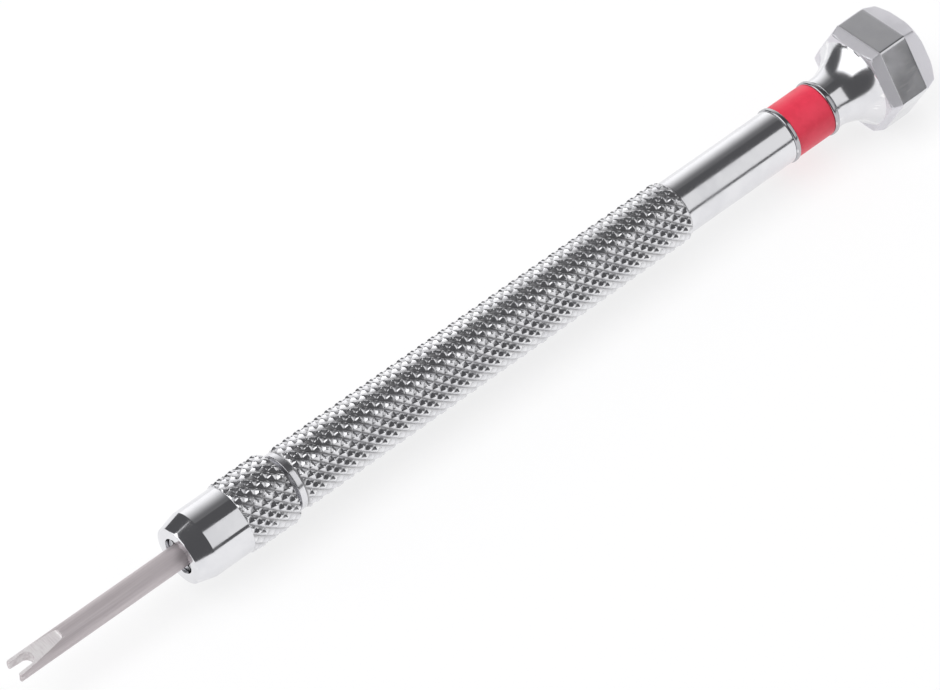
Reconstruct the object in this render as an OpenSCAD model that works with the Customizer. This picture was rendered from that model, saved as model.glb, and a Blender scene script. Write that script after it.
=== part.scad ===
// Spring bar tool: a fork blade in a collet chuck, on a knurled barrel with a swivel head.
// Lengths along the tool are counted from the fork's tip towards the head.

/* [Fork blade] */
// Diameter of the blade's round steel rod
blade_d = 2.0; // [1.6:0.1:2.2]
// Length of blade that stands out of the nose
blade_out = 16.2; // [12:0.2:22]
// Length of blade held inside the tool
blade_in = 17.8; // [17.2:0.1:17.8]
// Width of the U notch between the prongs
notch_w = 1.2; // [0.8:0.1:1.3]
// Depth of the U notch
notch_depth = 1.8; // [1.2:0.1:2.6]
// Length of the two ground faces that thin the fork
flat_len = 4.5; // [3.5:0.1:6]
// Thickness of the fork at its tip
tip_t = 0.9; // [0.6:0.05:1.2]
// Turn of the ground faces about the tool's axis, away from level
blade_roll = 11; // [0:1:45]

/* [Chuck nut] */
// Diameter of the nut's front face
nose_face_d = 5.1; // [4.8:0.1:5.6]
// Diameter of the smooth nose
nose_d = 6.0; // [5.8:0.1:6.2]
// Diameter over the nut's knurl
nut_d = 6.4; // [6.2:0.1:7]
// Length of the cone behind the front face
nose_cone_len = 1.7; // [1:0.1:2.2]
// Length of the smooth nose, its cone included
nose_len = 5.3; // [4.6:0.1:6]
// Length of the nut's knurl
nut_grip_len = 4.7; // [4:0.1:6]
// Diameter of the hole in the front face
nose_hole_d = 3.2; // [3.1:0.05:3.4]
// Nominal diameter of the chuck's screw thread
thread_d = 4.5; // [4.4:0.1:4.6]

/* [Barrel] */
// Gap between the tightened nut and the spigot's collar
groove_w = 0.5; // [0.4:0.1:1]
// Diameter of the smooth collar in the groove
collar_d = 5.2; // [5:0.1:5.4]
// Thickness of the smooth collar
collar_t = 0.6; // [0.4:0.1:1]
// Diameter over the barrel's knurl
grip_d = 5.6; // [5.4:0.1:6.2]
// Length of the barrel's knurl
grip_len = 41.3; // [36:0.1:50]
// Diameter of the smooth neck
neck_d = 4.92; // [4.7:0.02:5.2]
// Length of the smooth neck
neck_len = 11.75; // [11:0.25:16]

/* [Colour band] */
// Diameter of the colour ring
band_d = 4.88; // [4.7:0.02:5.1]
// Length of the colour ring
band_len = 4.0; // [3:0.1:6]
// Diameter of the thin rims on both sides of the colour ring
rim_d = 5.14; // [5:0.02:5.4]
// Thickness of each thin rim
rim_t = 0.45; // [0.35:0.05:0.6]

/* [Swivel head] */
// Width of the hexagonal head across its flats
head_af = 8.8; // [8.4:0.1:10]
// Diameter of the head's waist, next to the colour band
waist_d = 4.7; // [4.4:0.1:5]
// Length of the flared underside, waist included
flare_len = 3.75; // [3.2:0.05:4.5]
// Length of the straight part of the six flats
flat_h = 2.8; // [2:0.1:5]
// Length of the bevel along the hexagon's lower edges
low_bevel = 1.0; // [0.6:0.1:1.4]
// Length of the bevel along the hexagon's upper edges
top_bevel = 1.2; // [0.8:0.1:1.6]
// Radius of the dished finger rest at its rim
dish_r = 3.6; // [3:0.1:3.8]
// Depth of the dished finger rest
dish_depth = 1.1; // [0.6:0.1:1.3]

/* [Fits] */
// Radial clearance of running fits
run_gap = 0.04; // [0.02:0.01:0.06]
// End clearance between pieces that turn against each other
end_gap = 0.1; // [0.08:0.01:0.15]

/* [Hidden] */
$fn = 96;
eps = 0.01;

// Stations along the tool
nut_back = blade_out + nose_len + nut_grip_len;
collar_at = nut_back + groove_w;
grip_at = collar_at + collar_t;
neck_at = grip_at + grip_len;
washer_at = neck_at + neck_len;
band_at = washer_at + rim_t;
flange_at = band_at + band_len;
head_at = flange_at + rim_t + end_gap;
hex_at = head_at + flare_len;
hex_full_at = hex_at + low_bevel;
hex_top_at = hex_full_at + flat_h;
head_rim_at = hex_top_at + top_bevel;
crown_h = 0.5;
total_len = head_rim_at + crown_h;

// Blade and its bore
blade_r = blade_d / 2;
blade_end = blade_out + blade_in;
bore_floor = blade_end + end_gap;
bore_r = blade_r + 0.1;

// Nut: front lip, inner cone and threaded bore
thread_r = thread_d / 2;
thread_bore_r = thread_r + 0.05;
hole_r = nose_hole_d / 2;
lip_t = 0.6;
inner_cone_len = 2.7;
cone_at = blade_out + lip_t;
thread_at = cone_at + inner_cone_len;

// Collet: coned head with four jaws and a plain tail
jaw_at = blade_out + 0.3;
jaw_face_r = hole_r - 0.1;
jaw_gap = 0.05;
jaw_back = cone_at + 2.3;
tail_r = 1.6;
slit_w = 0.24;
slit_len = 7.2;
collet_end = grip_at - 0.9;

// Spigot: threaded stub, collar and the shank in the barrel
stub_at = jaw_back + 0.9;
shank_r = 1.95;
shank_end = grip_at + 6;

// Swivel bearing in the barrel's rear end
socket_r = 1.7;
seat_at = washer_at - 10;
seat_t = 0.8;
ball_r = 0.75;
ball_gap = 0.02;
ball_mid = seat_at + seat_t + ball_gap + ball_r;
spindle_r = 1.1;
spindle_at = ball_mid + 0.25;
ball_hole_r = ball_r + run_gap;
ball_hole_end = ball_mid + ball_r + run_gap;
clip_at = ball_hole_end + 0.8;
clip_t = 0.34;
clip_r = 1.45;
groove_r = 0.8;
washer_gap = 0.05;
clip_washer_at = clip_at + clip_t + washer_gap;
clip_washer_t = 0.3;
bush_at = clip_washer_at + clip_washer_t + washer_gap;
spindle_end = hex_top_at - 1.2;

// Head
apothem = head_af / 2;
corner_r = apothem / cos(30);
bevel_in = 0.38;
flare_r = apothem - bevel_in;
waist_r = waist_d / 2;
waist_len = 0.5;
rim_r = corner_r - 0.4;
crown_r = apothem - bevel_in - 0.05;

// Lays a piece, drawn along +Z from the fork's tip, down along +X with the head's flat on Z = 0
module on_axis() {
    translate([-total_len / 2, 0, apothem])
        rotate([0, 90, 0])
            children();
}

// Round piece between two stations, with an optional chamfer at either end
module turned(from, to, r, c1 = 0, c2 = 0) {
    rotate_extrude()
        polygon([
            [0, from], [r - c1, from], [r, from + c1],
            [r, to - c2], [r - c2, to], [0, to]
        ]);
}

// Round hole between two stations
module bored(from, to, r) {
    translate([0, 0, from])
        cylinder(h = to - from, r = r);
}

// Flat washer
module washer(at, t, r_out, r_in) {
    difference() {
        turned(at, at + t, r_out);
        bored(at - eps, at + t + eps, r_in);
    }
}

// Half-space that cuts one ground face of the fork
module ground_face() {
    slope = atan((blade_r - tip_t / 2) / flat_len);
    translate([-tip_t / 2, 0, 0])
        rotate([0, -slope, 0])
            translate([-2 * blade_r, -blade_r - 1, -1])
                cube([2 * blade_r, 2 * blade_r + 2, flat_len + 3]);
}

// U notch, open at the tip
module u_notch() {
    r = notch_w / 2;
    translate([0, 0, notch_depth - r])
        rotate([0, 90, 0])
            cylinder(h = 4 * blade_r, r = r, center = true);
    translate([-2 * blade_r, -r, -1])
        cube([4 * blade_r, notch_w, notch_depth - r + 1]);
}

module fork_blade() {
    color([0.62, 0.58, 0.60])
        on_axis()
            rotate([0, 0, blade_roll])
                difference() {
                    turned(0, blade_end, blade_r, 0, 0.2);
                    ground_face();
                    mirror([1, 0, 0])
                        ground_face();
                    u_notch();
                }
}

module chuck_nut() {
    edge = 0.15;
    knurl_at = blade_out + nose_len;
    color([0.80, 0.80, 0.82])
        on_axis()
            difference() {
                rotate_extrude()
                    polygon([
                        [0, blade_out],
                        [nose_face_d / 2, blade_out],
                        [nose_d / 2, blade_out + nose_cone_len],
                        [nose_d / 2, knurl_at],
                        [nut_d / 2 - edge, knurl_at],
                        [nut_d / 2, knurl_at + edge],
                        [nut_d / 2, nut_back - edge],
                        [nut_d / 2 - edge, nut_back],
                        [0, nut_back]
                    ]);
                bored(blade_out - eps, cone_at + eps, hole_r);
                translate([0, 0, cone_at])
                    cylinder(h = inner_cone_len, r1 = hole_r, r2 = thread_bore_r);
                bored(thread_at - eps, nut_back + eps, thread_bore_r);
            }
}

module collet() {
    cone_slope = (thread_bore_r - hole_r) / inner_cone_len;
    jaw_back_r = hole_r + cone_slope * (jaw_back - cone_at) - jaw_gap;
    color([0.55, 0.55, 0.57])
        on_axis()
            difference() {
                rotate_extrude()
                    polygon([
                        [0, jaw_at],
                        [jaw_face_r, jaw_at],
                        [hole_r - jaw_gap, cone_at],
                        [jaw_back_r, jaw_back],
                        [tail_r, jaw_back + 0.3],
                        [tail_r, collet_end],
                        [0, collet_end]
                    ]);
                bored(jaw_at - eps, collet_end + eps, blade_r + run_gap);
                for (a = [45, 135])
                    rotate([0, 0, a])
                        translate([-slit_w / 2, -thread_d, jaw_at - eps])
                            cube([slit_w, 2 * thread_d, slit_len]);
            }
}

module chuck_spigot() {
    color([0.78, 0.78, 0.80])
        on_axis()
            difference() {
                union() {
                    turned(stub_at, collar_at + eps, thread_r, 0.2, 0);
                    turned(collar_at, grip_at, collar_d / 2);
                    turned(grip_at - eps, shank_end, shank_r, 0, 0.2);
                }
                bored(stub_at - eps, collet_end + end_gap, tail_r + run_gap);
                bored(collet_end, shank_end + eps, bore_r);
            }
}

module handle_barrel() {
    edge = 0.35;
    neck_edge = 0.08;
    color([0.76, 0.76, 0.78])
        on_axis()
            difference() {
                union() {
                    turned(grip_at, neck_at, grip_d / 2, edge, edge);
                    turned(neck_at - 1, washer_at, neck_d / 2, 0, neck_edge);
                }
                bored(grip_at - eps, shank_end, shank_r);
                bored(shank_end - eps, bore_floor, bore_r);
                bored(seat_at, washer_at + eps, socket_r);
            }
}

module neck_washer() {
    color([0.70, 0.70, 0.72])
        on_axis()
            washer(washer_at, rim_t, rim_d / 2, socket_r);
}

module colour_ring() {
    color([0.80, 0.10, 0.20])
        on_axis()
            washer(band_at, band_len, band_d / 2, socket_r);
}

module bearing_bush() {
    color([0.72, 0.72, 0.74])
        on_axis()
            difference() {
                union() {
                    turned(bush_at, flange_at + eps, socket_r, 0.1, 0);
                    turned(flange_at, flange_at + rim_t, rim_d / 2);
                }
                bored(bush_at - eps, flange_at + rim_t + eps, spindle_r + run_gap);
            }
}

// Waist and concave flare of the head's underside, as far as the hexagon
module flare_profile() {
    rise = flare_r - waist_r;
    run = flare_len - waist_len;
    sweep = 60;
    steps = 10;
    polygon(concat(
        [[0, head_at], [waist_r, head_at]],
        [for (i = [0:steps])
            let (a = sweep * i / steps)
                [
                    waist_r + rise * (1 - cos(a)) / (1 - cos(sweep)),
                    hex_at - run + run * sin(a) / sin(sweep)
                ]],
        [[flare_r, hex_at + eps], [0, hex_at + eps]]
    ));
}

// Cuts one bevel plane off the hexagon's edge, starting at the flat
module bevel_cut(len) {
    slope = atan(bevel_in / len);
    translate([apothem, 0, 0])
        rotate([0, -slope, 0])
            translate([0, -corner_r, -eps])
                cube([corner_r, 2 * corner_r, 2 * len]);
}

// Head before its bore and dish, with a corner of the hexagon towards +X
module hexagon_blank() {
    difference() {
        intersection() {
            translate([0, 0, hex_at])
                cylinder(h = total_len - hex_at, r = corner_r, $fn = 6);
            rotate_extrude()
                polygon([
                    [0, hex_at],
                    [corner_r + 1, hex_at],
                    [corner_r + 1, head_rim_at - 0.2],
                    [rim_r, head_rim_at],
                    [crown_r, total_len],
                    [0, total_len]
                ]);
        }
        for (a = [30:60:330])
            rotate([0, 0, a]) {
                translate([0, 0, hex_top_at])
                    bevel_cut(top_bevel);
                translate([0, 0, hex_full_at])
                    mirror([0, 0, 1])
                        bevel_cut(low_bevel);
            }
    }
}

module swivel_head() {
    dish_sphere_r = (dish_r * dish_r + dish_depth * dish_depth) / (2 * dish_depth);
    color([0.82, 0.82, 0.84])
        on_axis()
            rotate([0, 0, 30])
                difference() {
                    union() {
                        rotate_extrude()
                            flare_profile();
                        hexagon_blank();
                    }
                    translate([0, 0, total_len - dish_depth + dish_sphere_r])
                        sphere(r = dish_sphere_r);
                    bored(head_at - eps, spindle_end, spindle_r);
                }
}

module head_spindle() {
    color([0.60, 0.60, 0.62])
        on_axis()
            difference() {
                turned(spindle_at, spindle_end, spindle_r, 0.1, 0.2);
                bored(spindle_at - eps, ball_hole_end, ball_hole_r);
                washer(clip_at, clip_t, spindle_r + 1, groove_r);
            }
}

module spindle_clip() {
    play = 0.02;
    color([0.35, 0.35, 0.38])
        on_axis()
            difference() {
                washer(clip_at + play, clip_t - 2 * play, clip_r, groove_r + play);
                translate([0, -groove_r * 0.6, clip_at - 1])
                    cube([clip_r + 1, groove_r * 1.2, clip_t + 2]);
            }
}

module clip_washer() {
    color([0.72, 0.60, 0.30])
        on_axis()
            washer(clip_washer_at, clip_washer_t, socket_r - 0.1, spindle_r + run_gap);
}

module thrust_ball() {
    color([0.85, 0.85, 0.88])
        on_axis()
            translate([0, 0, ball_mid])
                sphere(r = ball_r);
}

module ball_seat() {
    color([0.45, 0.45, 0.48])
        on_axis()
            turned(seat_at, seat_at + seat_t, socket_r);
}

fork_blade();
chuck_nut();
collet();
chuck_spigot();
handle_barrel();
neck_washer();
colour_ring();
bearing_bush();
swivel_head();
head_spindle();
spindle_clip();
clip_washer();
thrust_ball();
ball_seat();
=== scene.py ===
"""Spring bar tool: knurled barrel, fork blade, red band and hexagonal finger rest, round its CAD frame."""
import math

import bmesh
import bpy
import numpy as np
from mathutils import Matrix, Vector


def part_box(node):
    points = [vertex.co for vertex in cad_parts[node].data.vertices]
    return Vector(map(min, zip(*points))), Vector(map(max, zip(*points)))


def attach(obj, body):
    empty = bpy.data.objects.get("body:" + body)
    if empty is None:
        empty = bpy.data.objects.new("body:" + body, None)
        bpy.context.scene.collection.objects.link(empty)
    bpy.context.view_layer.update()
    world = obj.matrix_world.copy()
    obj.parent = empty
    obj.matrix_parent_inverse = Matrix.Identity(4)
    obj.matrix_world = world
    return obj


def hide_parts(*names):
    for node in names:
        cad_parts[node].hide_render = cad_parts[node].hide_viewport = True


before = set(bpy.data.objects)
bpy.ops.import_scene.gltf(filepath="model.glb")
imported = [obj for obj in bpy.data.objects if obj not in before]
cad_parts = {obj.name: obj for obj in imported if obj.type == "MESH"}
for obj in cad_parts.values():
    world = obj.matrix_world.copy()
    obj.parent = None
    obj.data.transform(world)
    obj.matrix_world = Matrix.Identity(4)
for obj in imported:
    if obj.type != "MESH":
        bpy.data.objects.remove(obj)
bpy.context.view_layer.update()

# Lengths below are in millimetres; x runs along the tool from the fork towards the head.
MM = 0.001

# Corners round the axis, and the smallest ring before a flat end on the axis
TURNED_SIDES = 128
THREADED_SIDES = 96
AXIS_SPOT = 0.02

# Knurls: starts round the grip, length of one diamond, depth of its grooves, cone at its ends
BARREL_STARTS = 16
BARREL_PITCH = 1.08
BARREL_GROOVE = 0.27
BARREL_END = 0.35
NUT_STARTS = 18
NUT_PITCH = 1.1
NUT_GROOVE = 0.25
NUT_END = 0.15
SAMPLES = 12
SECOND_CUT = 0.8
CREST_FLAT = 0.12

# Steps from the foot of a knurl's end cone down to the face beside it
BARREL_FRONT_STEP = 0.04
NUT_FRONT_STEP = 0.02
NUT_BACK_STEP = 0.03

# Nose of the nut
NOSE_LEN = 5.3
NOSE_CONE_LEN = 1.7
NOSE_RADIUS = 3.0
NOSE_FACE_RADIUS = 2.55
NOSE_HOLE_RADIUS = 1.6
LIP_LEN = 0.6
INNER_CONE_LEN = 2.7

# Collet
JAW_CONE_LEN = 2.3
JAW_CONE_RADIUS = 2.146
JAW_SHOULDER_LEN = 0.3
JAW_CLEARANCE = 0.05
COLLET_TAIL_RADIUS = 1.6
SLIT_WIDTH = 0.24
SLIT_LEN = 7.2

# Spigot
COLLAR_LEN = 0.6
COLLAR_RADIUS = 2.6
THREAD_RADIUS = 2.25
THREAD_BORE_RADIUS = 2.3
THREAD_PITCH = 0.5
THREAD_DEPTH = 0.27
THREAD_LEAD_IN = 0.3
THREAD_STEPS = 8
RELIEF_LEN = 0.45
SHANK_RADIUS = 1.95
COLLET_BORE_RADIUS = 1.64
COLLET_ROOM = 0.1
BLADE_BORE_RADIUS = 1.1

# Barrel behind the knurl
NECK_LEN = 11.75
NECK_RADIUS = 2.46
NECK_BLEND = 0.06
SOCKET_RADIUS = 1.7
SOCKET_LEN = 10.0
SHANK_LEN = 6.0
BLADE_ROOM = 6.8
RIM_ROUND = 0.14

# Blade and fork
BLADE_RADIUS = 1.0
BLADE_CLEARANCE = 0.04
BLADE_ROLL = 11
NOTCH_WIDTH = 1.2
NOTCH_DEPTH = 1.8
NOTCH_STEPS = 24
MOUTH_ROUND = 0.1
MOUTH_STEPS = 5
TIP_THICKNESS = 0.9
GROUND_LEN = 4.35
GROUND_SLOPE = 0.1
RUN_OUT_LEN = 0.35
RUN_OUT_SWEEP = 80
RUN_OUT_STEPS = 8
FORK_EDGE = 0.035

# Swivel head
WAIST_RADIUS = 2.35
WAIST_LEN = 0.5
FLARE_LEN = 3.75
FLARE_SWEEP = 60
FLARE_STEPS = 24
LOW_BEVEL_LEN = 1.0
FLAT_LEN = 2.8
TOP_BEVEL_LEN = 1.2
BEVEL_INSET = 0.38
BEVEL_BLEND = 0.03
CORNER_ROUND = 0.22
CROWN_CUT = 0.4
CROWN_SLOPE = 1.42
CROWN_BLEND = 0.05
FOOT_SLOPE = 3
FOOT_STEP = 0.02
FLAT_SAMPLES = 36
HEAD_RING_STEP = 0.05
DISH_RADIUS = 3.6
DISH_DEPTH = 1.1
DISH_STEPS = 20
DISH_LIP = 0.12
SPINDLE_RADIUS = 1.1
BUSH_CLEARANCE = 0.04

# The floor lies this far below the tool, so that their faces don't meet
FLOOR_GAP = 0.02


def span(node):
    """Start and end of a CAD node along the tool, in millimetres."""
    low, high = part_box(node)
    return low.x / MM, high.x / MM


def radius_of(node):
    """Outer radius of a round CAD node, in millimetres."""
    low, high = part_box(node)
    return (high.z - low.z) / MM / 2


head_low, head_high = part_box("swivel_head")
AXIS_HEIGHT = (head_low.z + head_high.z) / MM / 2

blade_tip, blade_end = span("fork_blade")
nut_front, nut_back = span("chuck_nut")
collet_front, collet_end = span("collet")
stub_front, shank_end = span("chuck_spigot")
grip_front, barrel_end = span("handle_barrel")
rim_front, rim_back = span("neck_washer")
band_front, band_back = span("colour_ring")
bush_front, bush_back = span("bearing_bush")
head_front, head_back = span("swivel_head")
spindle_back = span("head_spindle")[1]

NUT_RADIUS = radius_of("chuck_nut")
GRIP_RADIUS = radius_of("handle_barrel")
RIM_RADIUS = radius_of("neck_washer")
BAND_RADIUS = radius_of("colour_ring")
HEAD_APOTHEM = radius_of("swivel_head")
HEAD_CORNER = HEAD_APOTHEM / math.cos(math.radians(30))


# ---------------------------------------------------------------- shared effects

def add(tree, kind, **settings):
    """Node of a kind in a tree, with its settings."""
    node = tree.nodes.new(kind)
    for key, value in settings.items():
        setattr(node, key, value)
    return node


def arithmetic(tree, operation, first, second):
    """Math node on two inputs, each a socket or a number."""
    node = add(tree, "ShaderNodeMath", operation=operation)
    for socket, value in zip(node.inputs, (first, second)):
        if isinstance(value, bpy.types.NodeSocket):
            tree.links.new(value, socket)
        else:
            socket.default_value = value
    return node.outputs[0]


def mapped(tree, value, low, high, to_low=0.0, to_high=1.0, smooth=False):
    """Map Range node from one span of values to another; the span's ends may be sockets."""
    node = add(tree, "ShaderNodeMapRange", clamp=True)
    node.interpolation_type = "SMOOTHSTEP" if smooth else "LINEAR"
    tree.links.new(value, node.inputs["Value"])
    for name, end in (("From Min", low), ("From Max", high)):
        if isinstance(end, bpy.types.NodeSocket):
            tree.links.new(end, node.inputs[name])
        else:
            node.inputs[name].default_value = end
    node.inputs["To Min"].default_value = to_low
    node.inputs["To Max"].default_value = to_high
    return node.outputs["Result"]


def effect(name, inputs, outputs):
    """Empty node group with named number inputs and outputs, and its coordinates in millimetres."""
    tree = bpy.data.node_groups.new(name, "ShaderNodeTree")
    for label, value in inputs.items():
        socket = tree.interface.new_socket(label, in_out="INPUT", socket_type="NodeSocketFloat")
        socket.default_value = value
    for label in outputs:
        tree.interface.new_socket(label, in_out="OUTPUT", socket_type="NodeSocketFloat")
    inlet = add(tree, "NodeGroupInput")
    outlet = add(tree, "NodeGroupOutput")
    place_on = add(tree, "ShaderNodeTexCoord")
    millimetres = add(tree, "ShaderNodeVectorMath", operation="SCALE")
    millimetres.inputs["Scale"].default_value = 1 / MM
    tree.links.new(place_on.outputs["Object"], millimetres.inputs[0])
    return tree, inlet, outlet, millimetres.outputs["Vector"]


def stretched(tree, vector, along, across):
    """Coordinates stretched along the tool and across it."""
    node = add(tree, "ShaderNodeVectorMath", operation="MULTIPLY")
    tree.links.new(vector, node.inputs[0])
    node.inputs[1].default_value = (along, across, across)
    return node.outputs["Vector"]


def noise(tree, vector, scale, detail=3.0, roughness=0.55):
    """Noise texture on coordinates; its scale is a number or a socket."""
    node = add(tree, "ShaderNodeTexNoise")
    tree.links.new(vector, node.inputs["Vector"])
    if isinstance(scale, bpy.types.NodeSocket):
        tree.links.new(scale, node.inputs["Scale"])
    else:
        node.inputs["Scale"].default_value = scale
    node.inputs["Detail"].default_value = detail
    node.inputs["Roughness"].default_value = roughness
    return node.outputs["Fac"]


def make_turning_marks():
    """Fine rings round the tool's axis, as a lathe leaves them."""
    values = {"Rings per mm": 9.0, "Strength": 1.0}
    tree, inlet, outlet, place_on = effect("turning_marks", values, ["Height"])
    rings = noise(tree, stretched(tree, place_on, 1.0, 0.03), inlet.outputs["Rings per mm"], 4.0)
    tree.links.new(arithmetic(tree, "MULTIPLY", rings, inlet.outputs["Strength"]), outlet.inputs["Height"])
    return tree


def make_lengthwise_grain():
    """Fine lines along the tool, as drawn or ground rod has them."""
    tree, inlet, outlet, place_on = effect("lengthwise_grain", {"Lines per mm": 14.0}, ["Height", "Shade"])
    lines = noise(tree, stretched(tree, place_on, 0.008, 1.0), inlet.outputs["Lines per mm"], 3.0, 0.6)
    broad = noise(tree, stretched(tree, place_on, 0.06, 1.0), 1.6, 2.0)
    both = arithmetic(tree, "MULTIPLY", arithmetic(tree, "ADD", lines, broad), 0.5)
    tree.links.new(lines, outlet.inputs["Height"])
    tree.links.new(both, outlet.inputs["Shade"])
    return tree


def make_cross_grinding():
    """Fine lines across the tool, as a grinding wheel leaves them on a flat."""
    tree, inlet, outlet, place_on = effect("cross_grinding", {"Lines per mm": 12.0}, ["Height"])
    node = add(tree, "ShaderNodeVectorMath", operation="MULTIPLY")
    tree.links.new(place_on, node.inputs[0])
    node.inputs[1].default_value = (1.0, 0.06, 0.3)
    lines = noise(tree, node.outputs["Vector"], inlet.outputs["Lines per mm"], 4.0, 0.6)
    tree.links.new(lines, outlet.inputs["Height"])
    return tree


def make_handling_haze():
    """Broad patches where handling has dulled the surface a little."""
    tree, inlet, outlet, place_on = effect("handling_haze", {"Patches per mm": 0.35}, ["Mask"])
    patches = noise(tree, place_on, inlet.outputs["Patches per mm"], 4.0, 0.6)
    tree.links.new(mapped(tree, patches, 0.38, 0.66, smooth=True), outlet.inputs["Mask"])
    return tree


def make_fine_scratches():
    """Sparse hairline scratches in two directions."""
    tree, inlet, outlet, place_on = effect("fine_scratches", {"Amount": 0.5}, ["Mask"])
    masks = []
    for turn, tilt in ((0.5, 0.3), (-0.7, 0.9)):
        node = add(tree, "ShaderNodeMapping")
        tree.links.new(place_on, node.inputs["Vector"])
        node.inputs["Rotation"].default_value = (tilt, turn, turn)
        node.inputs["Scale"].default_value = (0.5, 9.0, 9.0)
        lines = noise(tree, node.outputs["Vector"], 1.3, 2.0)
        masks.append(mapped(tree, lines, 0.66, 0.72))
    both = arithmetic(tree, "MAXIMUM", masks[0], masks[1])
    tree.links.new(arithmetic(tree, "MULTIPLY", both, inlet.outputs["Amount"]), outlet.inputs["Mask"])
    return tree


def make_edge_wear():
    """Mask of outward edges, broken up, where the finish is rubbed brighter."""
    tree, inlet, outlet, place_on = effect("edge_wear", {"Start": 0.53, "Full": 0.62}, ["Mask"])
    shape = add(tree, "ShaderNodeNewGeometry")
    edges = mapped(tree, shape.outputs["Pointiness"], inlet.outputs["Start"], inlet.outputs["Full"])
    broken = mapped(tree, noise(tree, place_on, 2.2, 3.0), 0.3, 0.6)
    tree.links.new(arithmetic(tree, "MULTIPLY", edges, broken), outlet.inputs["Mask"])
    return tree


def make_groove_shade():
    """Mask of painted shade in a knurl's grooves, from the distance to the tool's axis, fullest at their
    roots.
    """
    tree, inlet, outlet, place_on = effect("groove_shade", {"Crest radius": 2.8, "Depth": 0.27}, ["Mask"])
    across = add(tree, "ShaderNodeVectorMath", operation="SUBTRACT")
    tree.links.new(place_on, across.inputs[0])
    across.inputs[1].default_value = (0.0, 0.0, AXIS_HEIGHT)
    flat = add(tree, "ShaderNodeVectorMath", operation="MULTIPLY")
    tree.links.new(across.outputs["Vector"], flat.inputs[0])
    flat.inputs[1].default_value = (0.0, 1.0, 1.0)
    length = add(tree, "ShaderNodeVectorMath", operation="LENGTH")
    tree.links.new(flat.outputs["Vector"], length.inputs[0])
    below = arithmetic(tree, "SUBTRACT", inlet.outputs["Crest radius"], length.outputs["Value"])
    share = arithmetic(tree, "DIVIDE", below, inlet.outputs["Depth"])
    rooted = arithmetic(tree, "POWER", mapped(tree, share, 0.0, 1.0), 2.5)
    patchy = mapped(tree, noise(tree, place_on, 1.1, 4.0), 0.25, 0.7, 0.45, 1.0)
    tree.links.new(arithmetic(tree, "MULTIPLY", rooted, patchy), outlet.inputs["Mask"])
    return tree


def make_moulded_texture():
    """Very fine pebbling, as satin plastic has it."""
    tree, inlet, outlet, place_on = effect("moulded_texture", {"Grains per mm": 16.0}, ["Height"])
    grains = noise(tree, place_on, inlet.outputs["Grains per mm"], 2.0, 0.5)
    tree.links.new(grains, outlet.inputs["Height"])
    return tree


turning_marks = make_turning_marks()
lengthwise_grain = make_lengthwise_grain()
cross_grinding = make_cross_grinding()
handling_haze = make_handling_haze()
fine_scratches = make_fine_scratches()
edge_wear = make_edge_wear()
groove_shade = make_groove_shade()
moulded_texture = make_moulded_texture()


# ---------------------------------------------------------------- finishes

RUBBED_PLATE = (0.92, 0.92, 0.93)
RUBBED_STEEL = (0.85, 0.83, 0.83)
RUBBED_RED = (0.9, 0.35, 0.4)
# Dark colour painted into a knurl's grooves as shade, deepest at their roots
GROOVE_SHADE = (0.16, 0.155, 0.15)


def use(tree, group, **values):
    """Shared effect placed in a material, with its own values."""
    node = add(tree, "ShaderNodeGroup", node_tree=group)
    for label, value in values.items():
        node.inputs[label.replace("_", " ")].default_value = value
    return node.outputs


def tinted(tree, base, other, mask):
    """Colour that goes from base to other with a mask; base is a colour or a socket."""
    node = add(tree, "ShaderNodeMix", data_type="RGBA")
    tree.links.new(mask, node.inputs["Factor"])
    if isinstance(base, bpy.types.NodeSocket):
        tree.links.new(base, node.inputs["A"])
    else:
        node.inputs["A"].default_value = (*base, 1)
    node.inputs["B"].default_value = (*other, 1)
    return node.outputs["Result"]


def finish(name, metallic=1.0):
    """New material with its Principled shader: the material's tree and the shader."""
    material = bpy.data.materials.new(name)
    material.use_nodes = True
    tree = material.node_tree
    shader = tree.nodes["Principled BSDF"]
    shader.inputs["Metallic"].default_value = metallic
    return material, tree, shader


def bumped(tree, shader, height, micrometres):
    """Sends a height to the shader's normal through a bump of that depth."""
    bump = add(tree, "ShaderNodeBump")
    bump.inputs["Strength"].default_value = 1.0
    bump.inputs["Distance"].default_value = micrometres * 1e-6
    tree.links.new(height, bump.inputs["Height"])
    tree.links.new(bump.outputs["Normal"], shader.inputs["Normal"])


def plated(name, colour, dull, polish, marks, depth, knurl=None, metal=1.0):
    """Bright plate over turned metal; a knurl, given as (crest radius, depth), gets painted shade and more
    roughness in its grooves.
    """
    material, tree, shader = finish(name, metal)
    haze = use(tree, handling_haze)["Mask"]
    wear = use(tree, edge_wear)["Mask"]
    scratches = use(tree, fine_scratches, Amount=0.6)["Mask"]
    base = tinted(tree, colour, dull, arithmetic(tree, "MULTIPLY", haze, 0.5))
    base = tinted(tree, base, RUBBED_PLATE, wear)
    roughness = arithmetic(tree, "ADD", arithmetic(tree, "MULTIPLY", haze, 0.06), polish)
    roughness = arithmetic(tree, "ADD", roughness, arithmetic(tree, "MULTIPLY", scratches, 0.12))
    if knurl:
        # Painted shade: the grooves' roots are darkened towards the dark shade colour, and roughened
        painted_shade = use(tree, groove_shade, Crest_radius=knurl[0], Depth=knurl[1])["Mask"]
        base = tinted(tree, base, GROOVE_SHADE, arithmetic(tree, "MULTIPLY", painted_shade, 0.6))
        roughness = arithmetic(tree, "ADD", roughness, arithmetic(tree, "MULTIPLY", painted_shade, 0.3))
    height = use(tree, turning_marks, Rings_per_mm=marks)["Height"]
    height = arithmetic(tree, "SUBTRACT", height, arithmetic(tree, "MULTIPLY", scratches, 0.4))
    tree.links.new(base, shader.inputs["Base Color"])
    tree.links.new(roughness, shader.inputs["Roughness"])
    bumped(tree, shader, height, depth)
    return material


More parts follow.
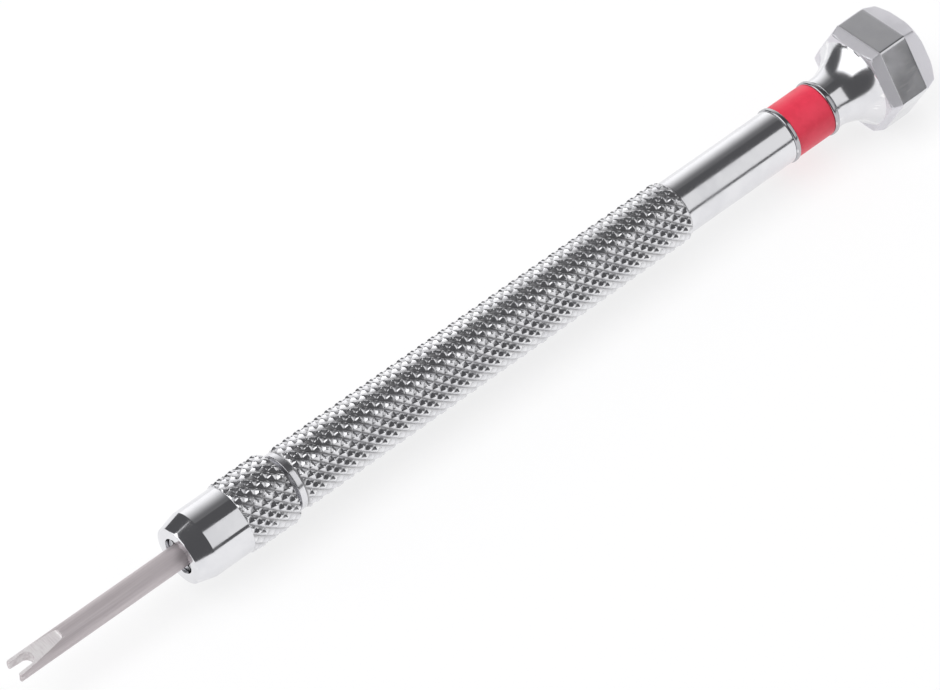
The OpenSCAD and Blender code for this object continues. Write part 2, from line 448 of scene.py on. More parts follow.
def ground(name, colour, dark, polish, group, lines, depth, metal=1.0):
    """Ground or drawn steel, its lines in colour, polish and relief; less metal where a film dulls it."""
    material, tree, shader = finish(name, metal)
    grain = use(tree, group, Lines_per_mm=lines)
    shade = grain["Shade"] if "Shade" in grain else grain["Height"]
    wear = use(tree, edge_wear)["Mask"]
    scratches = use(tree, fine_scratches, Amount=0.5)["Mask"]
    base = tinted(tree, colour, dark, mapped(tree, shade, 0.35, 0.65))
    base = tinted(tree, base, RUBBED_STEEL, arithmetic(tree, "MULTIPLY", wear, 0.7))
    roughness = mapped(tree, shade, 0.3, 0.7, polish - 0.05, polish + 0.07)
    roughness = arithmetic(tree, "ADD", roughness, arithmetic(tree, "MULTIPLY", scratches, 0.1))
    tree.links.new(base, shader.inputs["Base Color"])
    tree.links.new(roughness, shader.inputs["Roughness"])
    bumped(tree, shader, grain["Height"], depth)
    return material


def moulded(name, colour, deep):
    """Satin red plastic with faint rubbing on its edges."""
    material, tree, shader = finish(name, 0.0)
    haze = use(tree, handling_haze, Patches_per_mm=0.5)["Mask"]
    wear = use(tree, edge_wear)["Mask"]
    scratches = use(tree, fine_scratches, Amount=0.4)["Mask"]
    base = tinted(tree, colour, deep, haze)
    base = tinted(tree, base, RUBBED_RED, arithmetic(tree, "MULTIPLY", wear, 0.3))
    roughness = arithmetic(tree, "ADD", arithmetic(tree, "MULTIPLY", haze, 0.06), 0.38)
    roughness = arithmetic(tree, "ADD", roughness, arithmetic(tree, "MULTIPLY", scratches, 0.1))
    tree.links.new(base, shader.inputs["Base Color"])
    tree.links.new(roughness, shader.inputs["Roughness"])
    shader.inputs["Specular IOR Level"].default_value = 0.6
    bumped(tree, shader, use(tree, moulded_texture)["Height"], 2.0)
    return material


CHROME = (0.80, 0.80, 0.82)
CHROME_DULL = (0.70, 0.70, 0.73)
BARREL_KNURL = (GRIP_RADIUS, BARREL_GROOVE)
NUT_KNURL = (NUT_RADIUS, NUT_GROOVE)

# Plated: colour, duller colour, roughness, turning marks per mm, their depth in micrometres
knurl_plate = plated("bright_knurl", CHROME, CHROME_DULL, 0.13, 20.0, 0.6, BARREL_KNURL)
nut_knurl_plate = plated("bright_nut_knurl", CHROME, CHROME_DULL, 0.13, 20.0, 0.6, NUT_KNURL)
turned_plate = plated("bright_turned", CHROME, CHROME_DULL, 0.15, 14.0, 1.0)
nose_plate = plated("bright_nose", CHROME, CHROME_DULL, 0.08, 18.0, 0.7)
head_plate = plated("bright_head", CHROME, CHROME_DULL, 0.14, 12.0, 1.2)
bevel_plate = plated("satin_bevel", (0.78, 0.77, 0.81), (0.70, 0.69, 0.73), 0.42, 16.0, 2.0, metal=0.8)
rim_steel = plated("bright_rim", (0.50, 0.50, 0.52), (0.42, 0.42, 0.44), 0.16, 22.0, 0.8)
ball_steel = plated("polished_ball", (0.74, 0.74, 0.76), (0.66, 0.66, 0.68), 0.06, 6.0, 0.2)
washer_brass = plated("turned_brass", (0.80, 0.62, 0.28), (0.66, 0.50, 0.22), 0.22, 16.0, 1.0)

# Ground: colour, darker colour, roughness, kind of lines, lines per mm, their depth, share of bare metal
blade_steel = ground(
    "drawn_blade", (0.65, 0.595, 0.61), (0.53, 0.48, 0.495), 0.48, lengthwise_grain, 12.0, 1.0, 0.55)
ground_steel = ground(
    "ground_fork", (0.84, 0.80, 0.81), (0.72, 0.68, 0.69), 0.40, cross_grinding, 12.0, 1.4, 0.4)
hardened_steel = ground(
    "hardened", (0.52, 0.52, 0.54), (0.40, 0.40, 0.42), 0.26, lengthwise_grain, 10.0, 1.0)

red_moulding = moulded("red_moulding", (0.84, 0.032, 0.080), (0.76, 0.024, 0.065))


def refinish(node, material):
    """Gives a CAD node that stays in view its finish."""
    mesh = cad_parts[node].data
    mesh.materials.clear()
    mesh.materials.append(material)


# ---------------------------------------------------------------- mesh code

def with_edge_rings(outline, off_edge=0.25):
    """Outline with points added near both ends of its long straights, to keep an edge's wear beside it."""
    points = [outline[0]]
    for (x0, r0), (x1, r1) in zip(outline, outline[1:]):
        share = off_edge / max(math.hypot(x1 - x0, r1 - r0), off_edge)
        if share < 1 / 3:
            points.append((x0 + (x1 - x0) * share, r0 + (r1 - r0) * share))
            points.append((x1 - (x1 - x0) * share, r1 - (r1 - r0) * share))
        points.append((x1, r1))
    return points


def rounded(corners, steps=5):
    """Outline of (x, r) points through corners given as (x, r, rounding radius)."""
    outline = []
    count = len(corners)
    for i, (x, r, radius) in enumerate(corners):
        here = Vector((x, r))
        if radius <= 0 or i in (0, count - 1):
            outline.append((x, r))
            continue
        to_last = Vector(corners[i - 1][:2]) - here
        to_next = Vector(corners[i + 1][:2]) - here
        half = to_last.angle(to_next) / 2
        reach = min(radius / math.tan(half), 0.48 * to_last.length, 0.48 * to_next.length)
        radius = reach * math.tan(half)
        to_last.normalize()
        to_next.normalize()
        centre = here + (to_last + to_next).normalized() * (radius / math.sin(half))
        start = here + to_last * reach - centre
        end = here + to_next * reach - centre
        sweep = math.atan2(start.x * end.y - start.y * end.x, start.dot(end))
        for k in range(steps + 1):
            turned = Matrix.Rotation(sweep * k / steps, 2) @ start
            outline.append(tuple(centre + turned))
    return with_edge_rings(outline)


def plain_rings(outline, sides):
    """Rings of one radius each, from an outline of (x, r) points."""
    return [(x, np.full(sides, float(r))) for x, r in outline]


def even_turn(sides):
    """Angles of evenly spaced corners round the axis, from the top towards +Y."""
    return np.arange(sides) * (2 * math.pi / sides)


def diamond_depth(across, along, groove):
    """Depth below the crest of a diamond knurl, and which of its two cuts is the deeper there."""
    first = across + along
    second = across - along
    first_off = 2 * np.abs(first - np.round(first))
    second_off = 2 * np.abs(second - np.round(second))
    first_cut = groove * np.clip(1 - first_off / (1 - CREST_FLAT), 0, 1)
    second_cut = SECOND_CUT * groove * np.clip(1 - second_off / (1 - CREST_FLAT), 0, 1)
    return np.maximum(first_cut, second_cut), first_cut >= second_cut


def knurl_rings(front, back, radius, starts, pitch, groove, end_cut):
    """Rings of a diamond knurl between two stations, its ends turned down to a short cone."""
    step = pitch / SAMPLES
    stations = np.append(np.arange(front, back - step / 2, step), back)
    across = np.arange(starts * SAMPLES) / SAMPLES
    rings = []
    for x in stations:
        depth, _ = diamond_depth(across, (x - front) / pitch, groove)
        cone = radius - end_cut + min(x - front, back - x)
        rings.append((x, np.minimum(radius - depth, cone)))
    return rings


def knurl_split(rings, front, pitch, starts, groove):
    """For each cell between rings, True where its diagonal runs along the first cut."""
    middle = (np.arange(starts * SAMPLES) + 0.5) / SAMPLES
    splits = []
    for (x0, _), (x1, _) in zip(rings, rings[1:]):
        _, first = diamond_depth(middle, ((x0 + x1) / 2 - front) / pitch, groove)
        splits.append(first)
    return splits


def thread_rings(front, back, radius, sides):
    """Rings of a right-hand V thread with a lead-in cone at its front."""
    step = THREAD_PITCH / THREAD_STEPS
    turn = np.arange(sides) / sides
    rings = []
    for x in np.append(np.arange(front, back - step / 2, step), back):
        phase = (x - front) / THREAD_PITCH + turn
        off = 2 * np.abs(phase - np.round(phase))
        depth = THREAD_DEPTH * np.clip(1.15 - 1.3 * off, 0, 1)
        rings.append((x, np.minimum(radius - depth, radius - THREAD_LEAD_IN + (x - front))))
    return rings


def grid_mesh(name, rings, angles, closed=True, splits=None, first_split=0):
    """Mesh through rings of (x, radii) round the tool's axis. A closed one joins its last ring to its
    first; an open one gets a flat cap at each end. Splits cut knurl cells into two triangles each."""
    sides = len(angles)
    sine, cosine = np.sin(angles), np.cos(angles)
    verts = []
    for x, radii in rings:
        ring = np.stack([np.full(sides, x), radii * sine, AXIS_HEIGHT + radii * cosine], axis=1)
        verts.append(ring)
    verts = np.concatenate(verts) * MM
    count = len(rings)
    here = np.arange(sides)
    beside = (here + 1) % sides
    faces = []
    for i in range(count if closed else count - 1):
        row, after = i * sides, (i + 1) % count * sides
        a, b, c, d = row + here, after + here, after + beside, row + beside
        split = None
        if splits is not None and 0 <= i - first_split < len(splits):
            split = splits[i - first_split]
        if split is None:
            faces += np.stack([a, b, c, d], axis=1).tolist()
            continue
        one, other = split, ~split
        faces += np.stack([a, b, d], axis=1)[one].tolist()
        faces += np.stack([b, c, d], axis=1)[one].tolist()
        faces += np.stack([a, b, c], axis=1)[other].tolist()
        faces += np.stack([a, c, d], axis=1)[other].tolist()
    if not closed:
        faces.append(list(range(sides)))
        faces.append(list(range((count - 1) * sides, count * sides)))
    mesh = bpy.data.meshes.new(name)
    mesh.from_pydata(verts.tolist(), [], faces)
    return finished(name, mesh)


def finished(name, mesh, crease=28):
    """Object from a mesh, its faces turned outwards and shaded smooth up to a crease angle."""
    work = bmesh.new()
    work.from_mesh(mesh)
    bmesh.ops.recalc_face_normals(work, faces=work.faces)
    work.to_mesh(mesh)
    work.free()
    mesh.shade_smooth()
    mesh.set_sharp_from_angle(angle=math.radians(crease))
    piece = bpy.data.objects.new(name, mesh)
    bpy.context.scene.collection.objects.link(piece)
    weighted = piece.modifiers.new("face_normals", "WEIGHTED_NORMAL")
    weighted.keep_sharp = True
    return piece


def place(piece, body, node, slot, *materials):
    """Puts a piece on its body in place of a CAD node, and gives it its finishes."""
    for material in materials:
        piece.data.materials.append(material)
    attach(piece, body)
    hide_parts(node)


def second_finish_behind(piece, station):
    """Gives the faces of a piece behind a station its second finish."""
    for face in piece.data.polygons:
        if face.center.x > station * MM:
            face.material_index = 1


def prism(name, outline, half, across):
    """Closed block from an outline of (x, s) points, with s along Y or Z and its height along the other."""
    verts = []
    for height in (-half, half):
        for x, s in outline:
            y, z = (s, height) if across == "Y" else (height, s)
            verts.append((x * MM, y * MM, (AXIS_HEIGHT + z) * MM))
    count = len(outline)
    faces = [list(range(count)), list(range(2 * count - 1, count - 1, -1))]
    for i in range(count):
        j = (i + 1) % count
        faces.append([i, j, count + j, count + i])
    mesh = bpy.data.meshes.new(name)
    mesh.from_pydata(verts, [], faces)
    block = finished(name, mesh)
    block.modifiers.clear()
    return block


def roll_about_axis(block, degrees):
    """Turns a block about the tool's axis."""
    height = Matrix.Translation((0, 0, AXIS_HEIGHT * MM))
    block.data.transform(height @ Matrix.Rotation(math.radians(degrees), 4, "X") @ height.inverted())


def cut_away(piece, *blocks):
    """Cuts blocks off a piece and removes them."""
    piece.modifiers.clear()
    for block in blocks:
        cut = piece.modifiers.new("cut", "BOOLEAN")
        cut.operation = "DIFFERENCE"
        cut.solver = "EXACT"
        cut.object = block
    bpy.context.view_layer.update()
    seen = piece.evaluated_get(bpy.context.evaluated_depsgraph_get())
    mesh = bpy.data.meshes.new_from_object(seen)
    name = piece.name
    for old in (piece, *blocks):
        bpy.data.objects.remove(old)
    return finished(name, mesh)


def break_edges(piece, width, angle=30):
    """Rounds a piece's sharp edges by a small bevel."""
    bevel = piece.modifiers.new("broken_edges", "BEVEL")
    bevel.width = width * MM
    bevel.segments = 2
    bevel.limit_method = "ANGLE"
    bevel.angle_limit = math.radians(angle)
    bevel.use_clamp_overlap = True
    bevel.harden_normals = False
    piece.modifiers.move(len(piece.modifiers) - 1, 0)


def soft_min(a, b, width):
    """Lower of two values, with a rounded changeover."""
    return (a + b - np.sqrt((a - b) ** 2 + width ** 2)) / 2


# ---------------------------------------------------------------- the handle's pieces

def knurled_barrel():
    """Barrel with its diamond knurl, smooth neck, blade hole and bearing socket."""
    neck_front = barrel_end - NECK_LEN
    shank_floor = grip_front + SHANK_LEN
    blade_floor = grip_front + BLADE_ROOM
    socket_floor = barrel_end - SOCKET_LEN
    inside = rounded([
        (blade_floor, AXIS_SPOT, 0),
        (blade_floor, BLADE_BORE_RADIUS, 0.05),
        (shank_floor, BLADE_BORE_RADIUS, 0.05),
        (shank_floor, SHANK_RADIUS, 0.05),
        (grip_front, SHANK_RADIUS, 0.05),
        (grip_front, GRIP_RADIUS - BARREL_END - BARREL_FRONT_STEP, 0),
    ])
    behind = rounded([
        (neck_front + NECK_BLEND, NECK_RADIUS, 0),
        (barrel_end, NECK_RADIUS, 0.08),
        (barrel_end, SOCKET_RADIUS, 0.05),
        (socket_floor, SOCKET_RADIUS, 0.1),
        (socket_floor, AXIS_SPOT, 0),
    ])
    cut = (GRIP_RADIUS, BARREL_STARTS, BARREL_PITCH, BARREL_GROOVE, BARREL_END)
    knurl = knurl_rings(grip_front, neck_front, *cut)
    splits = knurl_split(knurl, grip_front, BARREL_PITCH, BARREL_STARTS, BARREL_GROOVE)
    sides = BARREL_STARTS * SAMPLES
    rings = plain_rings(inside, sides) + knurl + plain_rings(behind, sides)
    barrel = grid_mesh("knurled_barrel", rings, even_turn(sides), False, splits, len(inside))
    place(barrel, "handle", "handle_barrel", "bright_plate", knurl_plate, turned_plate)
    second_finish_behind(barrel, neck_front)


def threaded_spigot():
    """Spigot with the chuck's thread, its smooth collar and the shank inside the barrel."""
    collar_front = grip_front - COLLAR_LEN
    relief = collar_front - RELIEF_LEN
    root = THREAD_RADIUS - THREAD_DEPTH
    room_end = collet_end + COLLET_ROOM
    thread = thread_rings(stub_front, relief, THREAD_RADIUS, THREADED_SIDES)
    behind = rounded([
        (relief + 0.02, root, 0),
        (collar_front, root, 0.06),
        (collar_front, COLLAR_RADIUS, 0.08),
        (grip_front, COLLAR_RADIUS, 0.08),
        (grip_front, SHANK_RADIUS, 0.02),
        (shank_end, SHANK_RADIUS, 0.2),
        (shank_end, BLADE_BORE_RADIUS, 0.05),
        (room_end, BLADE_BORE_RADIUS, 0.05),
        (room_end, COLLET_BORE_RADIUS, 0.05),
        (stub_front, COLLET_BORE_RADIUS, 0),
    ])
    rings = thread + plain_rings(behind, THREADED_SIDES)
    spigot = grid_mesh("threaded_spigot", rings, even_turn(THREADED_SIDES))
    place(spigot, "handle", "chuck_spigot", "bright_plate", turned_plate)


def turned_ring(name, corners):
    """Ring turned to corners (x, r, rounding radius) that start and end at one point of its bore."""
    outline = rounded(corners)[:-1]
    return grid_mesh(name, plain_rings(outline, TURNED_SIDES), even_turn(TURNED_SIDES))


def plain_ring(name, front, back, outer, outer_round, bore_round):
    """Ring that fits over the bush, rounded at its outer edges and its bore."""
    middle = (front + back) / 2
    return turned_ring(name, [
        (middle, SOCKET_RADIUS, 0),
        (front, SOCKET_RADIUS, bore_round),
        (front, outer, outer_round),
        (back, outer, outer_round),
        (back, SOCKET_RADIUS, bore_round),
        (middle, SOCKET_RADIUS, 0),
    ])


def neck_rim():
    """Thin bright rim between the neck and the red band."""
    rim = plain_ring("neck_rim", rim_front, rim_back, RIM_RADIUS, RIM_ROUND, 0.03)
    place(rim, "handle", "neck_washer", "rim_steel", rim_steel)


def red_band():
    """Red ring that marks the fork's width."""
    band = plain_ring("red_band", band_front, band_back, BAND_RADIUS, 0.07, 0.05)
    place(band, "handle", "colour_ring", "red_ring", red_moulding)


def flanged_bush():
    """Bearing bush, whose flange is the rim between the red band and the head."""
    bore = SPINDLE_RADIUS + BUSH_CLEARANCE
    middle = (bush_front + bush_back) / 2
    bush = turned_ring("flanged_bush", [
        (middle, bore, 0),
        (bush_front, bore, 0.05),
        (bush_front, SOCKET_RADIUS, 0.1),
        (band_back, SOCKET_RADIUS, 0.02),
        (band_back, RIM_RADIUS, RIM_ROUND),
        (bush_back, RIM_RADIUS, RIM_ROUND),
        (bush_back, bore, 0.05),
        (middle, bore, 0),
    ])
    place(bush, "handle", "bearing_bush", "rim_steel", rim_steel)


# ---------------------------------------------------------------- the chuck's pieces

def nose_nut():
    """Chuck nut: coned nose with its inner cone, and a knurled grip."""
    grip_start = nut_front + NOSE_LEN
    cone_front = nut_front + LIP_LEN
    lip_middle = nut_front + LIP_LEN / 2
    knurl_foot = NUT_RADIUS - NUT_END
    outline = rounded([
        (lip_middle, NOSE_HOLE_RADIUS, 0),
        (nut_front, NOSE_HOLE_RADIUS, 0.06),
        (nut_front, NOSE_FACE_RADIUS, 0.1),
        (nut_front + NOSE_CONE_LEN, NOSE_RADIUS, 0.25),
        (grip_start - 0.01, NOSE_RADIUS, 0.03),
        (grip_start, knurl_foot - NUT_FRONT_STEP, 0),
    ])
    behind = rounded([
        (nut_back, knurl_foot - NUT_BACK_STEP, 0),
        (nut_back, THREAD_BORE_RADIUS, 0.1),
        (cone_front + INNER_CONE_LEN, THREAD_BORE_RADIUS, 0.05),
        (cone_front, NOSE_HOLE_RADIUS, 0.05),
        (lip_middle + 0.01, NOSE_HOLE_RADIUS, 0),
    ])
    cut = (NUT_RADIUS, NUT_STARTS, NUT_PITCH, NUT_GROOVE, NUT_END)
    knurl = knurl_rings(grip_start, nut_back, *cut)
    splits = knurl_split(knurl, grip_start, NUT_PITCH, NUT_STARTS, NUT_GROOVE)
    sides = NUT_STARTS * SAMPLES
    rings = plain_rings(outline, sides) + knurl + plain_rings(behind, sides)
    nut = grid_mesh("nose_nut", rings, even_turn(sides), True, splits, len(outline))
    place(nut, "chuck_nut", "chuck_nut", "bright_plate", nose_plate, nut_knurl_plate)
    second_finish_behind(nut, grip_start)


def jaw_slit(turn):
    """Block that cuts one slit through the collet's head, at an angle round the axis."""
    half = SLIT_WIDTH / 2
    front = collet_front - 0.5
    back = collet_front + SLIT_LEN
    slit = prism("slit", [(front, -half), (back, -half), (back, half), (front, half)], THREAD_RADIUS, "Y")
    roll_about_axis(slit, turn)
    return slit


def split_collet():
    """Collet whose coned head is slit into four jaws."""
    bore = BLADE_RADIUS + BLADE_CLEARANCE
    cone_front = nut_front + LIP_LEN
    jaw_back = cone_front + JAW_CONE_LEN
    outline = rounded([
        (collet_end - 1, bore, 0),
        (collet_front, bore, 0.05),
        (collet_front, NOSE_HOLE_RADIUS - 2 * JAW_CLEARANCE, 0.05),
        (cone_front, NOSE_HOLE_RADIUS - JAW_CLEARANCE, 0.05),
        (jaw_back, JAW_CONE_RADIUS, 0.08),
        (jaw_back + JAW_SHOULDER_LEN, COLLET_TAIL_RADIUS, 0.05),
        (collet_end, COLLET_TAIL_RADIUS, 0.1),
        (collet_end, bore, 0.05),
        (collet_end - 1, bore, 0),
    ])
    rings = plain_rings(outline[:-1], THREADED_SIDES)
    collet = grid_mesh("split_collet", rings, even_turn(THREADED_SIDES))
    collet = cut_away(collet, jaw_slit(45), jaw_slit(135))
    place(collet, "collet", "collet", "hardened_steel", hardened_steel)


def ground_outline():
    """Side view of what is ground off above the fork: a slightly tapered flat with a curved run-out."""
    half_tip = TIP_THICKNESS / 2
    ground_end = blade_tip + GROUND_LEN - RUN_OUT_LEN / 2
    height = half_tip + GROUND_SLOPE * (ground_end - blade_tip)
    rise = BLADE_RADIUS + 0.1 - height
    outline = [(blade_tip - 1, half_tip - GROUND_SLOPE), (blade_tip, half_tip), (ground_end, height)]
    for k in range(1, RUN_OUT_STEPS + 1):
        a = math.radians(RUN_OUT_SWEEP) * k / RUN_OUT_STEPS
        outline.append((ground_end + RUN_OUT_LEN * math.sin(a), height + rise * (1 - math.cos(a))))
    return outline + [(outline[-1][0], 2 * BLADE_RADIUS), (blade_tip - 1, 2 * BLADE_RADIUS)]


def notch_outline():
    """Top view of the U notch between the prongs, with a rounded mouth."""
    half_notch = NOTCH_WIDTH / 2
    side = [(blade_tip - 0.5, half_notch + MOUTH_ROUND)]
    for k in range(MOUTH_STEPS + 1):
        a = math.radians(90) * k / MOUTH_STEPS
        side.append((
            blade_tip + MOUTH_ROUND * (1 - math.cos(a)),
            half_notch + MOUTH_ROUND * (1 - math.sin(a)),
        ))
    arc_middle = blade_tip + NOTCH_DEPTH - half_notch
    bottom = []
    for k in range(NOTCH_STEPS + 1):
        a = math.radians(90) - math.radians(180) * k / NOTCH_STEPS
        bottom.append((arc_middle + half_notch * math.cos(a), half_notch * math.sin(a)))
    return side + bottom + [(x, -y) for x, y in reversed(side)]


def forked_blade():
    """Round rod with two ground faces that thin it to a fork, and a U notch between the prongs."""
    outline = rounded([
        (blade_tip, AXIS_SPOT, 0),
        (blade_tip, BLADE_RADIUS, 0.12),
        (blade_tip + GROUND_LEN + 0.2, BLADE_RADIUS, 0),
        (blade_end, BLADE_RADIUS, 0.2),
        (blade_end, AXIS_SPOT, 0),
    ])
    rod = grid_mesh("forked_blade", plain_rings(outline, TURNED_SIDES), even_turn(TURNED_SIDES), False)
    above = ground_outline()
    below = [(x, -z) for x, z in above]
    reach = 2 * BLADE_RADIUS
    upper = prism("upper_face", above, reach, "Z")
    lower = prism("lower_face", below, reach, "Z")
    notch = prism("notch", notch_outline(), reach, "Y")
    for block in (upper, lower, notch):
        roll_about_axis(block, BLADE_ROLL)
    blade = cut_away(rod, upper, lower, notch)
    break_edges(blade, FORK_EDGE)
    place(blade, "blade", "fork_blade", "blade_steel", blade_steel, ground_steel)
    unroll = Matrix.Rotation(math.radians(-BLADE_ROLL), 3, "X")
    ground_back = (blade_tip + GROUND_LEN + 0.5) * MM
    for face in blade.data.polygons:
        normal = unroll @ face.normal
        if face.center.x < ground_back and abs(normal.z) > 0.9 and abs(normal.x) > 0.02:
            face.material_index = 1


# ---------------------------------------------------------------- the swivel head

def hexagon_radius(apothem, off_flat):
    """Radius of a hexagon with rounded corners, at angles counted from the middle of a flat."""
    reach = (apothem - CORNER_ROUND) / math.cos(math.radians(30))
    tangent = math.atan((apothem - CORNER_ROUND) * math.tan(math.radians(30)) / apothem)
    off_corner = math.radians(30) - np.abs(off_flat)
    inside = np.maximum(CORNER_ROUND ** 2 - (reach * np.sin(off_corner)) ** 2, 0)
    corner = reach * np.cos(off_corner) + np.sqrt(inside)
    return np.where(np.abs(off_flat) > tangent, corner, apothem / np.cos(off_flat))


def flare_outline(flare_radius):
    """Outline from the spindle's hole round the waist and out along the flare."""
    hex_front = head_front + FLARE_LEN
    outline = rounded([
        (spindle_back, AXIS_SPOT, 0),
        (spindle_back, SPINDLE_RADIUS, 0.05),
        (head_front, SPINDLE_RADIUS, 0.05),
        (head_front, WAIST_RADIUS, 0.1),
        (head_front + WAIST_LEN, WAIST_RADIUS, 0),
    ])
    run = FLARE_LEN - WAIST_LEN
    rise = flare_radius - WAIST_RADIUS
    sweep = math.radians(FLARE_SWEEP)
    for k in range(1, FLARE_STEPS + 1):
        a = sweep * k / FLARE_STEPS
        x = hex_front - run + run * math.sin(a) / math.sin(sweep)
        outline.append((x, WAIST_RADIUS + rise * (1 - math.cos(a)) / (1 - math.cos(sweep))))
    return outline


def hexagon_rings(flare_radius, off_flat):
    """Rings of the hexagon with its bevels at both ends, its foot on the flare and its turned crown."""
    hex_front = head_front + FLARE_LEN
    flat_front = hex_front + LOW_BEVEL_LEN
    flat_back = flat_front + FLAT_LEN
    bevel_back = flat_back + TOP_BEVEL_LEN
    stations = np.arange(hex_front + 0.015, head_back - 0.02, HEAD_RING_STEP)
    rings = []
    for x in np.append(stations, head_back - 0.01):
        low = HEAD_APOTHEM - BEVEL_INSET * (flat_front - x) / LOW_BEVEL_LEN
        high = HEAD_APOTHEM - BEVEL_INSET * (x - flat_back) / TOP_BEVEL_LEN
        apothem = soft_min(soft_min(HEAD_APOTHEM, low, BEVEL_BLEND), high, BEVEL_BLEND)
        crown = HEAD_CORNER - CROWN_CUT - (x - bevel_back) * CROWN_SLOPE
        foot = flare_radius + FOOT_STEP + (x - hex_front) * FOOT_SLOPE
        radii = soft_min(hexagon_radius(apothem, off_flat), crown, CROWN_BLEND)
        radii = np.minimum(radii, np.maximum(foot, hexagon_radius(flare_radius, off_flat)))
        rings.append((x, radii))
    return rings


def dish_outline():
    """Outline of the shallow dish in the head's end, from its lip to the axis."""
    sphere = (DISH_RADIUS ** 2 + DISH_DEPTH ** 2) / (2 * DISH_DEPTH)
    outline = [(head_back, DISH_RADIUS + DISH_LIP), (head_back, DISH_RADIUS + 0.05)]
    for k in range(DISH_STEPS + 1):
        r = DISH_RADIUS * (1 - k / DISH_STEPS) + AXIS_SPOT
        outline.append((head_back - DISH_DEPTH + sphere - math.sqrt(sphere ** 2 - r ** 2), r))
    return outline


def satin_bevels(head):
    """Gives the hexagon's bevels, crown and lip their satin finish."""
    hex_front = head_front + FLARE_LEN
    flat_front = hex_front + LOW_BEVEL_LEN
    flat_back = flat_front + FLAT_LEN
    for face in head.data.polygons:
        x, y, z = face.center / MM
        on_low_bevel = hex_front < x < flat_front
        on_top_bevel = flat_back < x < head_back - 0.02 and face.normal.x < 0.9
        outside_dish = math.hypot(y, z - AXIS_HEIGHT) > DISH_RADIUS + 0.1
        if (on_low_bevel or on_top_bevel) and outside_dish:
            face.material_index = 1


def hex_finger_rest():
    """Swivel head: flared underside, hexagon with bevelled edges, and a dished finger rest."""
    share = (np.arange(FLAT_SAMPLES) + 0.5) / FLAT_SAMPLES * 2 - 1
    off_flat = np.radians(30) * np.sin(share * math.pi / 2)
    angles = np.concatenate([off_flat + math.radians(60) * k for k in range(6)])
    off_flat = np.tile(off_flat, 6)
    sides = len(angles)
    flare_radius = HEAD_APOTHEM - BEVEL_INSET
    rings = plain_rings(flare_outline(flare_radius), sides)
    rings += hexagon_rings(flare_radius, off_flat)
    rings += plain_rings(dish_outline(), sides)
    head = grid_mesh("hex_finger_rest", rings, angles, False)
    place(head, "head", "swivel_head", "bright_plate", head_plate, bevel_plate)
    satin_bevels(head)


# ---------------------------------------------------------------- building it

knurled_barrel()
threaded_spigot()
neck_rim()
red_band()
flanged_bush()
nose_nut()
split_collet()
forked_blade()
hex_finger_rest()
refinish("head_spindle", hardened_steel)
refinish("spindle_clip", hardened_steel)
refinish("clip_washer", washer_brass)
refinish("thrust_ball", ball_steel)
refinish("ball_seat", hardened_steel)


# ---------------------------------------------------------------- floor, light and camera

def pale_floor():
    """Plain pale floor that glows a little, so that shadows on it stay faint."""
    half = 3.0
    corners = [(-half, -half, 0), (half, -half, 0), (half, half, 0), (-half, half, 0)]
    mesh = bpy.data.meshes.new("floor")
    mesh.from_pydata(corners, [], [(0, 1, 2, 3)])
    floor = bpy.data.objects.new("floor", mesh)
    bpy.context.scene.collection.objects.link(floor)
    floor.location.z = -FLOOR_GAP * MM
    material, _, shader = finish("pale_floor", 0.0)
    shader.inputs["Base Color"].default_value = (0.25, 0.25, 0.253, 1)
    shader.inputs["Roughness"].default_value = 0.9
    shader.inputs["Specular IOR Level"].default_value = 0.1
    shader.inputs["Emission Color"].default_value = (1, 1, 1, 1)
    shader.inputs["Emission Strength"].default_value = 0.745
    mesh.materials.append(material)


def softbox(name, low_edge, high_edge, ends, brightness, fade=None):
    """Rectangular light along the tool, between two edges as (y, z) and two ends as x, in metres. With a
    fade it grows dim between two shares of its height."""
    low, high = Vector((0, *low_edge)), Vector((0, *high_edge))
    light = bpy.data.lights.new(name, "AREA")
    light.shape = "RECTANGLE"
    light.size = ends[1] - ends[0]
    light.size_y = (high - low).length
    light.energy = brightness * math.pi * light.size * light.size_y
    centre = (low + high) / 2 + Vector(((ends[0] + ends[1]) / 2, 0, 0))
    up = (high - low).normalized()
    side = Vector((1, 0, 0))
    if side.cross(up).dot(centre) < 0:
        side = -side
    lamp = bpy.data.objects.new(name, light)
    turned = Matrix((side, up, side.cross(up))).transposed().to_4x4()
    lamp.matrix_world = Matrix.Translation(centre) @ turned
    bpy.context.scene.collection.objects.link(lamp)
    if fade:
        light.use_nodes = True
        tree = light.node_tree
        place_on = add(tree, "ShaderNodeSeparateXYZ")
        tree.links.new(add(tree, "ShaderNodeNewGeometry").outputs["Parametric"], place_on.inputs[0])
        strength = mapped(tree, place_on.outputs["Y"], fade[0], fade[1], 1.0, 0.06, True)
        tree.links.new(strength, tree.nodes["Emission"].inputs["Strength"])
    return lamp


def end_softbox(name, centre, side, brightness):
    """Square light that faces the tool from beyond its fork."""
    light = bpy.data.lights.new(name, "AREA")
    light.shape = "SQUARE"
    light.size = side
    light.energy = brightness * math.pi * side ** 2
    lamp = bpy.data.objects.new(name, light)
    lamp.location = centre
    lamp.rotation_euler = Vector(centre).to_track_quat("Z", "Y").to_euler()
    bpy.context.scene.collection.objects.link(lamp)


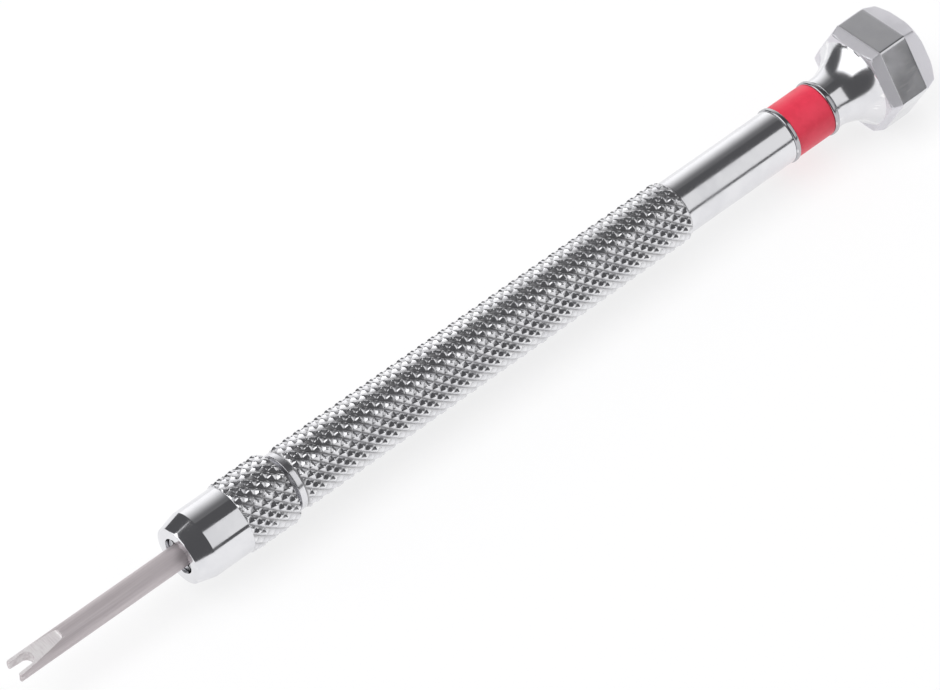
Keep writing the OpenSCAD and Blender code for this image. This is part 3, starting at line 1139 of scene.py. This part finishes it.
def studio_world():
    """Dim room round the softboxes, and a pale backdrop where the camera looks past the floor."""
    world = bpy.data.worlds.new("studio")
    bpy.context.scene.world = world
    world.use_nodes = True
    tree = world.node_tree
    room = tree.nodes["Background"]
    room.inputs["Color"].default_value = (0.5, 0.5, 0.52, 1)
    room.inputs["Strength"].default_value = 0.19
    backdrop = add(tree, "ShaderNodeBackground")
    backdrop.inputs["Color"].default_value = (0.95, 0.95, 0.96, 1)
    mix = add(tree, "ShaderNodeMixShader")
    tree.links.new(add(tree, "ShaderNodeLightPath").outputs["Is Camera Ray"], mix.inputs["Fac"])
    tree.links.new(room.outputs["Background"], mix.inputs[1])
    tree.links.new(backdrop.outputs["Background"], mix.inputs[2])
    tree.links.new(mix.outputs["Shader"], tree.nodes["World Output"].inputs["Surface"])


def camera_view():
    """Camera above and to the left of the tool, turned a little about its own line of sight."""
    azimuth, elevation, roll = -35.008, 45.732, -8.364
    distance, focal_length = 400.27, 190.8
    aim = Vector((-0.33, 0.58, AXIS_HEIGHT)) * MM
    a, e = math.radians(azimuth), math.radians(elevation)
    back = Vector((math.sin(a) * math.cos(e), -math.cos(a) * math.cos(e), math.sin(e)))
    camera = bpy.data.objects.new("camera", bpy.data.cameras.new("camera"))
    camera.data.lens = focal_length
    camera.data.sensor_width = 36
    camera.data.clip_start = 0.01
    camera.data.clip_end = 20
    facing = (-back).to_track_quat("-Z", "Y").to_matrix().to_4x4()
    rolled = Matrix.Rotation(math.radians(roll), 4, "Z")
    camera.matrix_world = Matrix.Translation(aim + back * distance * MM) @ facing @ rolled
    bpy.context.scene.collection.objects.link(camera)
    bpy.context.scene.camera = camera


pale_floor()
softbox("back_softbox", (0.95, 0.0), (0.25, 0.95), ends=(0.17, 1.8), brightness=1.12, fade=(0.15, 0.86))
softbox("front_softbox", (-0.95, 0.18), (-0.36, 0.9), ends=(0.15, 1.75), brightness=0.78)
end_softbox("fork_end_softbox", centre=(-0.68, 0.31, 0.66), side=1.08, brightness=1.5)
# The fill lights the floor and the matt finishes, and stays out of the plate's reflections.
fill = softbox("overhead_fill", (-0.5, 1.0), (0.5, 1.0), ends=(-0.8, 0.8), brightness=1.6)
fill.visible_glossy = False
studio_world()
camera_view()
bpy.context.scene.view_settings.view_transform = "Standard"
